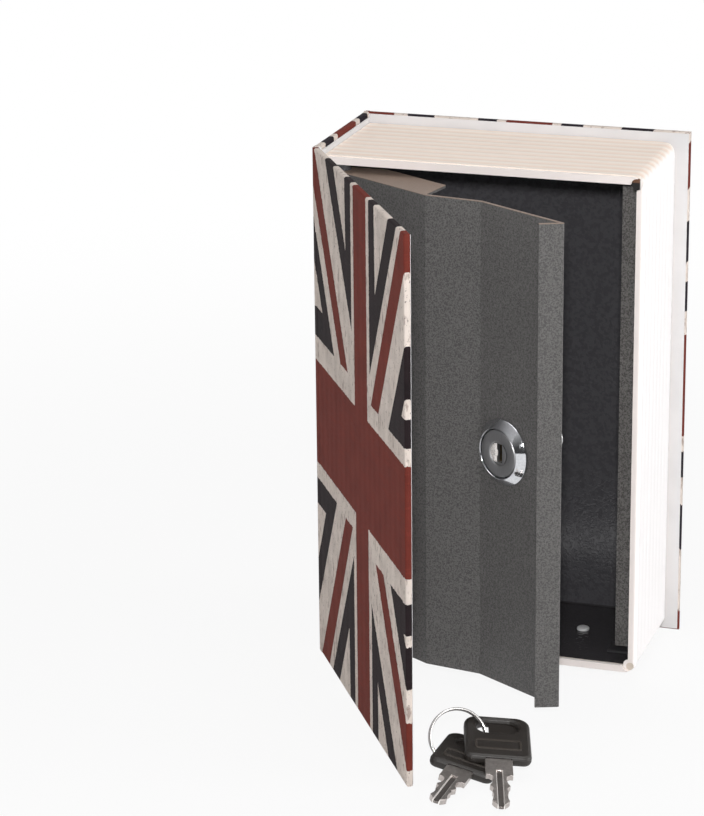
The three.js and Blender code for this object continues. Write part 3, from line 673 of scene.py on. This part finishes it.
def turned(name, profile, matrix, body, slot, finish, steps, cad=()):
    """A turned piece: its profile is pairs of radius and height about the matrix's Z axis"""
    vertices, faces = [], []
    rings = []
    for radius, height in profile:
        if radius == 0:
            rings.append([len(vertices)])
            vertices.append(matrix @ Vector((0, 0, height)))
        else:
            rings.append([len(vertices) + k for k in range(steps)])
            vertices += [
                matrix @ Vector((radius * cos(a), radius * sin(a), height))
                for a in (2 * pi * k / steps for k in range(steps))
            ]
    for low, high in zip(rings, rings[1:]):
        for k in range(steps):
            n = (k + 1) % steps
            if len(low) == 1:
                faces.append((low[0], high[n], high[k]))
            elif len(high) == 1:
                faces.append((low[k], low[n], high[0]))
            else:
                faces.append((low[k], low[n], high[n], high[k]))
    made = add_piece(name, vertices, faces, body, slot, finish, smooth=True)
    made.data.set_sharp_from_angle(angle=radians(35))
    if cad:
        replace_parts(made, *cad)


for node_name in ("floor_rivet_spine", "floor_rivet_fore_edge",
                  "roof_rivet_spine", "roof_rivet_fore_edge"):
    low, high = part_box(node_name)
    middle = (low + high) / 2
    in_floor = node_name.startswith("floor")
    seat = high.z - rivet_rise if in_floor else low.z + rivet_rise
    stand = Matrix.Translation((middle.x, middle.y, seat))
    if not in_floor:
        stand = stand @ Matrix.Rotation(pi, 4, "X")
    arc = [pi / 2 * i / round_steps for i in range(round_steps + 1)]
    profile = [(0, -shank_length), (shank_radius, -shank_length), (shank_radius, 0),
               (rivet_radius, 0)]
    profile += [(rivet_radius - head_round * (1 - cos(a)), head_edge + head_round * sin(a))
                for a in arc]
    profile.append((0, head_edge + head_round + crown))
    turned(node_name + "_head", profile, stand, "case", "zinc", zinc, 40, [node_name])


# Round notches in the front rim, at two corners of the box, with a floor that lies back in the
# moulding. The lower one has a pale plastic peg in it. In the upper one the box's brown primer
# shows at the top, painted shade makes the rest of its floor near black, and the cream plastic
# shows beside it.
notch_radius = 1.9 * mm
notch_depth = 1.45 * mm
notch_inset = 0.8 * mm
notch_floor = 0.25 * mm
peg_radius, peg_edge = 1.3 * mm, 0.12 * mm
peg_inset = 0.3 * mm
peg = Finish("peg_plastic", roughness=0.5)
peg_middle = (box_high.x - peg_inset, block_low.y + notch_depth, box_low.z + peg_inset)
from_peg = peg.node("ShaderNodeVectorMath", {"operation": "DISTANCE"},
                    {0: peg.place(), 1: peg_middle}, "Value")
peg.paint(Base_Color=peg.mix(
    colour(222, 210, 198), colour(196, 182, 168), peg.grain(0.9 * mm, detail=4)))
peg.tint(colour(238, 231, 228), peg.step(from_peg, peg_radius, peg_radius + peg_edge))
primer_from, primer_to = -0.5 * mm, -0.1 * mm
plastic_from, plastic_to = -0.1 * mm, 0.3 * mm
primer_and_shade = Finish("primer_and_painted_shade", roughness=0.8)
rust = primer_and_shade.mix(colour(84, 54, 38), colour(120, 84, 60), primer_and_shade.grain(0.8 * mm, detail=5))
above_roof = primer_and_shade.step(
    primer_and_shade.place().dot((0, 0, 1)), box_high.z + primer_from, box_high.z + primer_to)
beside = primer_and_shade.step(
    primer_and_shade.place().dot((1, 0, 0)), box_high.x + plastic_from, box_high.x + plastic_to)
# Painted shade: below the primer the notch floor is near black
primer_and_shade.paint(Base_Color=primer_and_shade.mix(colour(20, 17, 16), rust, above_roof))
primer_and_shade.tint(colour(240, 234, 230), beside)
for name, z, finish, slot in (
        ("lower_notch_floor", box_low.z + notch_inset, peg, "pages"),
        ("upper_notch_floor", box_high.z - notch_inset, primer_and_shade, "boxSteel")):
    seat = Matrix.Translation((box_high.x - notch_inset, block_low.y + notch_depth, z))
    turned(name, [(0, 0), (notch_radius, 0), (notch_radius, notch_floor), (0, notch_floor)],
           seat @ Matrix.Rotation(pi / 2, 4, "X"), "case", slot, finish, 40)


# Hinge pins and washers: turned steel, painted with the box. The pins are fixed in its floor
# and its roof and go through the door's folded tabs.
box_paint.on(*(nodes[name] for name in (
    "lower_hinge_pin", "upper_hinge_pin", "lower_hinge_washer", "upper_hinge_washer")))


# Door: one steel sheet, bent twice so that the lock sits back in the book, with a folded pull
# lip and a tab at each end for the hinge pins, in grey hammered paint. Its top faces, the upper
# tab's among them, are painted paler and browner in patches as painted light.
door_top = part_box("door_panel")[1].z
top_light_from, top_light_to = -0.3 * mm, -0.05 * mm
door_paint = hammered("door_paint", colour(107, 105, 104), colour(75, 74, 73),
                      bump=0.6 * mm, depth=0.24 * mm, gloss=0.3, roughness=0.40)
# Painted light: the top faces are painted paler and browner
on_top = door_paint.step(
    door_paint.place().dot((0, 0, 1)), door_top + top_light_from, door_top + top_light_to)
door_paint.tint(colour(146, 127, 114), on_top * (0.5 + 0.8 * door_paint.grain(0.7 * mm)))
door_paint.on(nodes["door_panel"])
soften(nodes["door_panel"], 0.22 * mm)


# Lock: a chromed bezel with a wide cone, a satin face plate inside it, and a die-cast barrel
# through the door, held behind by a toothed washer and a hex nut.
lock_joint = next(joint for joint in frame["joints"] if joint["name"] == "lock_turn")
lock_out = Vector(lock_joint["axis"])
lock_side = Vector((0, 0, 1)).cross(lock_out)
lock_place = Matrix.Translation(lock_joint["pos_m"]) @ Matrix((
    lock_side, (0, 0, 1), lock_out)).transposed().to_4x4()
chrome = Finish("chrome", metallic=1.0)
haze = chrome.grain(0.8 * mm, detail=5)
chrome.paint(Base_Color=chrome.mix(colour(226, 227, 230), colour(196, 198, 202), haze))
chrome.paint(Roughness=0.06 + 0.10 * chrome.step(haze, 0.4, 0.8))
satin = Finish("satin_nickel", metallic=0.95)
brushing = satin.grain(0.25 * mm, stretch=(1, 1, 0.08))
satin.paint(Base_Color=satin.mix(colour(150, 150, 152), colour(184, 184, 185), brushing))
satin.paint(Roughness=0.28 + 0.2 * brushing)
# Both profiles are in millimetres
bezel_profile = [
    (8.3, 0.15), (11.05, 0.15), (11.25, 0.3), (11.25, 0.65), (11.1, 0.88), (8.75, 2.9),
    (8.62, 3.0), (8.48, 3.0), (8.36, 2.88), (8.3, 2.6), (8.3, 0.15),
]
turned("lock_bezel_ring", [(r * mm, h * mm) for r, h in bezel_profile], lock_place, "door",
       "chrome", chrome, 96, ["lock_bezel"])
face_profile = [
    (3.95, 1.95), (7.8, 1.95), (7.9, 2.05), (7.9, 2.5), (7.7, 2.72), (7.4, 2.75), (4.5, 2.75),
    (4.2, 2.66), (3.95, 2.4), (3.95, 1.95),
]
turned("lock_face", [(r * mm, h * mm) for r, h in face_profile], lock_place, "door",
       "satin", satin, 96, ["lock_face_plate"])
cast_zinc = Finish("cast_zinc", metallic=0.7)
dull = cast_zinc.grain(1.2 * mm, detail=4)
cast_zinc.paint(Base_Color=cast_zinc.mix(colour(170, 171, 174), colour(210, 210, 208), dull))
cast_zinc.paint(Roughness=0.34 + 0.2 * dull)
cast_zinc.on(*(nodes[name] for name in ("lock_barrel", "toothed_washer", "lock_nut")))


# Plug, wafers, cam and screw: what the key turns. The plug is a satin die-casting with five
# brass wafers, and the steel cam is held on its square tail by a screw.
brass = Finish("brass", roughness=0.3, metallic=0.95)
tarnish = brass.grain(0.8 * mm, detail=4)
brass.paint(Base_Color=brass.mix(colour(158, 136, 92), colour(108, 90, 60), tarnish))
satin.on(nodes["lock_plug"])
# In millimetres: the plug's nose on each side of the keyway, with a chamfer along the keyway
nose_radius = 3.7
nose_low, nose_high = 2.04, 2.62
nose_gap, nose_edge = 0.02, 0.12
nose_fall = 0.2
keyway_half, keyway_reach = 1.15, 3.15
chamfer = 0.8
ward, ward_reach = 0.42, 0.9
row_steps = 8
# Painted highlight for the keyway's left side
guide_highlight = Finish("guide_painted_highlight", metallic=0.35)
swirl = guide_highlight.grain(0.5 * mm, detail=4)
guide_highlight.paint(Base_Color=guide_highlight.mix(colour(236, 232, 228), colour(206, 202, 198), swirl))
guide_highlight.paint(Roughness=0.2 + 0.15 * swirl)
# The keyway's left side has a ward that fits the key's groove; its pale colour is a painted
# highlight
for side_name, sign, finish in (("left", -1, guide_highlight), ("right", 1, satin)):
    vertices = []
    rows_y = [keyway_reach * (i / row_steps - 1) for i in range(2 * row_steps + 1)]
    for y in rows_y:
        rim = sqrt(nose_radius ** 2 - y ** 2)
        top = nose_high - nose_fall * (y / keyway_reach) ** 4
        inner = keyway_half - (ward if sign < 0 and abs(y) < ward_reach else 0)
        line = [(inner, nose_low), (min(inner + chamfer, rim - 2 * nose_gap), top),
                (rim - nose_gap, top), (rim, top - nose_edge), (rim, nose_low)]
        vertices += [lock_place @ (Vector((sign * x, y, z)) * mm) for x, z in line]
    size = len(line)
    faces = skin(len(rows_y), size)
    faces += [tuple(range(size)), tuple(range(len(vertices) - size, len(vertices)))]
    add_piece(side_name + "_keyway_guide", vertices, faces, "plug_and_cam", "satin", finish)
brass.on(*(nodes[f"lock_wafer_{i}"] for i in range(1, 6)))
cast_zinc.on(nodes["lock_cam"], nodes["cam_screw"])
soften(nodes["lock_cam"], 0.25 * mm)


# Keys: nickel-plated blades, cut on both sides with a groove along the middle, each pressed
# into a black moulded head with a slot for the ring and a raised frame round a bare plate.
# A key's measures are millimetres in its own frame, and its place ends with turns in degrees.
key_places = {
    "lower": ((76.15, -101.4, 2.3), (-4.1, 12.3, 0)),
    "upper": ((81.75, -95.6, 7.6), (6.3, 5.1, 18.2)),
}
groove_half, groove_wall = 1.0, 0.16
groove_end = -25.4


def place_key(side):
    """A key's own frame, which has its blade along -Y and the middle of its slot at zero"""
    place_mm, angles = key_places[side]
    return Matrix.Translation(Vector(place_mm) * mm) @ Euler(
        [radians(angle) for angle in angles], "XYZ").to_matrix().to_4x4()


for side in key_places:
    nickel = Finish(side + "_key_nickel", metallic=0.9)
    wear = nickel.grain(1.1 * mm, detail=5)
    plated = nickel.mix(colour(150, 143, 139), colour(208, 201, 197), wear)
    across, along, _ = place_key(side).to_3x3().transposed()
    start = place_key(side).translation
    off_middle = abs(nickel.place().dot(across) - start.dot(across)) / mm
    # Painted shade darkens the groove's floor, and a painted highlight lines its walls
    milled = nickel.place().dot(along) - start.dot(along) < groove_end * mm
    floor = (off_middle < groove_half) * milled
    groove_highlight = (off_middle > groove_half - groove_wall) * (off_middle < groove_half + groove_wall)
    plated = nickel.mix(plated, colour(104, 98, 95), floor * 0.75)
    nickel.paint(Base_Color=nickel.mix(plated, colour(250, 246, 242), groove_highlight * milled))
    nickel.paint(Roughness=0.24 + 0.2 * wear)
    nickel.on(nodes[side + "_key_blade"])
plastic = Finish("black_plastic")
pores = plastic.grain(0.35 * mm, detail=3)
plastic.paint(Base_Color=plastic.mix(colour(26, 23, 21), colour(40, 35, 31), pores))
plastic.paint(Roughness=0.34 + 0.2 * pores)
plastic.relief(pores, 0.015 * mm)
# The raised frames are a mottled plastic, paler than the heads
paler_frame = Finish("paler_frame_plastic")
frame_mottle = paler_frame.grain(0.5 * mm, detail=4)
paler_frame.paint(Base_Color=paler_frame.mix(colour(74, 68, 63), colour(44, 39, 35), frame_mottle))
paler_frame.paint(Roughness=0.24 + 0.2 * frame_mottle)
for side in key_places:
    plastic.on(nodes[side + "_key_head"])
    soften(nodes[side + "_key_head"], 0.22 * mm)
    soften(nodes[side + "_key_blade"], 0.1 * mm)

head_thickness = 3.6
frame_low, frame_high = -14.9, -8.9
frame_half = 7.5
frame_bar, frame_edge = 0.8, 0.12
frame_rise, frame_sunk = 0.45, -0.1
frame_corner, least_corner = 1.2, 0.25
corner_steps = 5
slot_half, slot_run = 3.8, 3.0
slot_steps = 16
web_low, web_high = 1.2, 1.9
# A thin web closes the end of the slot that the ring doesn't use: its side and where it ends
webs = {"lower": (-1, -0.6), "upper": (1, -2.6)}
for side, (free_side, free_end) in webs.items():
    key_place = place_key(side)
    end = [(slot_run + slot_half * sin(a), -slot_half * cos(a)) for a in (
        pi * i / slot_steps for i in range(slot_steps + 1))]
    outline = [(free_end, -slot_half)] + end + [(free_end, slot_half)]
    outline = [(free_side * x, y) for x, y in outline]
    vertices, faces = prism(outline, web_low, web_high)
    vertices = [key_place @ (Vector(v) * mm) for v in vertices]
    add_piece(side + "_key_slot_web", vertices, faces, side + "_key", "keyPlastic", plastic)
    loops = []
    for inset, rise in ((0, frame_sunk), (frame_edge, frame_rise),
                        (frame_bar - frame_edge, frame_rise), (frame_bar, frame_sunk)):
        loop = []
        x0, x1 = -frame_half + inset, frame_half - inset
        y0, y1 = frame_low + inset, frame_high - inset
        round_off = max(frame_corner - inset, least_corner)
        for cx, cy, start in ((x1 - round_off, y0 + round_off, -90),
                              (x1 - round_off, y1 - round_off, 0),
                              (x0 + round_off, y1 - round_off, 90),
                              (x0 + round_off, y0 + round_off, 180)):
            for i in range(corner_steps + 1):
                a = radians(start + 90 / corner_steps * i)
                loop.append(Vector((cx + round_off * cos(a), cy + round_off * sin(a),
                                    head_thickness + rise)) * mm)
        loops.append(loop)
    vertices = [key_place @ v for loop in loops for v in loop]
    # The last loop joins the first, under the bar
    faces = [tuple(corner % len(vertices) for corner in face)
             for face in skin(len(loops) + 1, len(loops[0]))]
    add_piece(side + "_key_plate_frame", vertices, faces, side + "_key", "keyPlastic", paler_frame)


# Split ring: spring steel wire wound twice, plated bright. The keys hang on both its turns. Its
# measures are millimetres, and its turns are degrees.
ring_radius = 9.2
wire_radius = 0.45
ring_pitch = 1.32
ring_turns = 2
ring_middle, ring_tilt = (71.05, -102.5, 8.5), (54.1, 25.6, 0)
ring_place = Matrix.Translation(Vector(ring_middle) * mm) @ Euler(
    [radians(angle) for angle in ring_tilt], "ZYX").to_matrix().to_4x4()
vertices = []
ring_steps, sides = 160, 16
for i in range(ring_steps + 1):
    t = i / ring_steps
    turn = 2 * pi * ring_turns * t
    out_way = Vector((cos(turn), sin(turn), 0))
    along = Vector((-sin(turn), cos(turn), ring_pitch / (2 * pi * ring_radius))).normalized()
    side_way = along.cross(out_way)
    centre = out_way * ring_radius + Vector((0, 0, ring_pitch * ring_turns * (t - 0.5)))
    for k in range(sides):
        a = 2 * pi * k / sides
        vertices.append(ring_place @ (
            (centre + wire_radius * (cos(a) * out_way + sin(a) * side_way)) * mm))
faces = skin(ring_steps + 1, sides)
faces += [tuple(range(sides)), tuple(reversed(range(len(vertices) - sides, len(vertices))))]
bright = Finish("bright_wire", roughness=0.16, metallic=1.0)
rub = bright.grain(0.6 * mm, detail=4)
bright.paint(Base_Color=bright.mix(colour(238, 236, 234), colour(206, 202, 200), rub))
ring = add_piece("ring_wire", vertices, faces, "ring", "zinc", bright, smooth=True)
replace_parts(ring, "key_ring")
